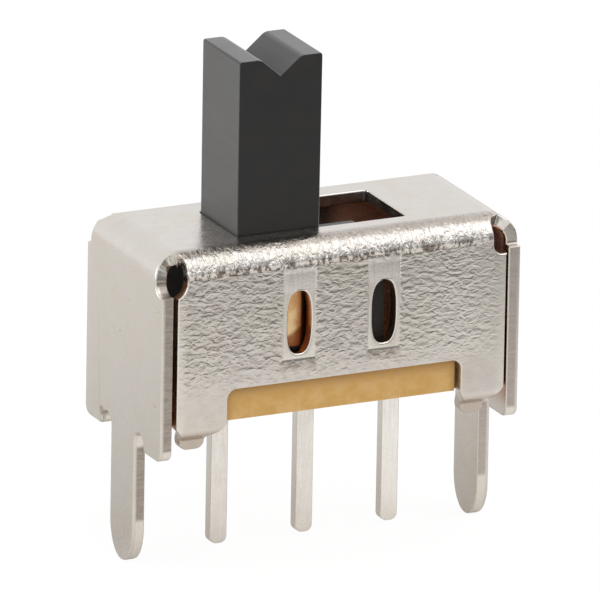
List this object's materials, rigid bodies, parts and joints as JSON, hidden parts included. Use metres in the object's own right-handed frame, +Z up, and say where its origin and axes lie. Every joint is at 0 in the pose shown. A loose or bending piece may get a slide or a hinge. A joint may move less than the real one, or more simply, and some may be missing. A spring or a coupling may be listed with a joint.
{
  "type": "slide switch",
  "caption": "Upright board-mounted slide switch: folded tinned-steel frame with legs, tan laminate base with flat pins, and a black V-notched actuator that slides between two detents.",
  "frame": {"origin": "middle of the frame at the level of the end flaps' shoulders, which is the board's surface; the middle pin passes through it", "axes": "+X along the length of the switch, the way the slider moves from its rest; +Y to the back, away from the wall with the detent holes; +Z up along the actuator, away from the board"},
  "size_m": [0.0106, 0.0048, 0.0139],
  "materials": {
    "tinned_steel": "crinkled dull tin plate",
    "laminate": "mottled tan laminate",
    "tinned_pin": "dull tin plate on brass",
    "black_plastic": "matte moulded",
    "bronze": "satin",
    "spring_brass": "bright rolled"
  },
  "bodies": {
    "housing": {"frame": "tinned_steel", "base_plate": "laminate", "left_terminal": "tinned_pin", "common_terminal": "tinned_pin", "right_terminal": "tinned_pin"},
    "slide": {"slider": "black_plastic", "contact_clip": "bronze", "detent_spring": "spring_brass"}
  },
  "joints": [
    {"name": "slider_travel", "type": "slide", "parent": "housing", "child": "slide", "axis": [1, 0, 0], "range_m": [0, 0.0025], "deforming": ["detent_spring"]}
  ]
}
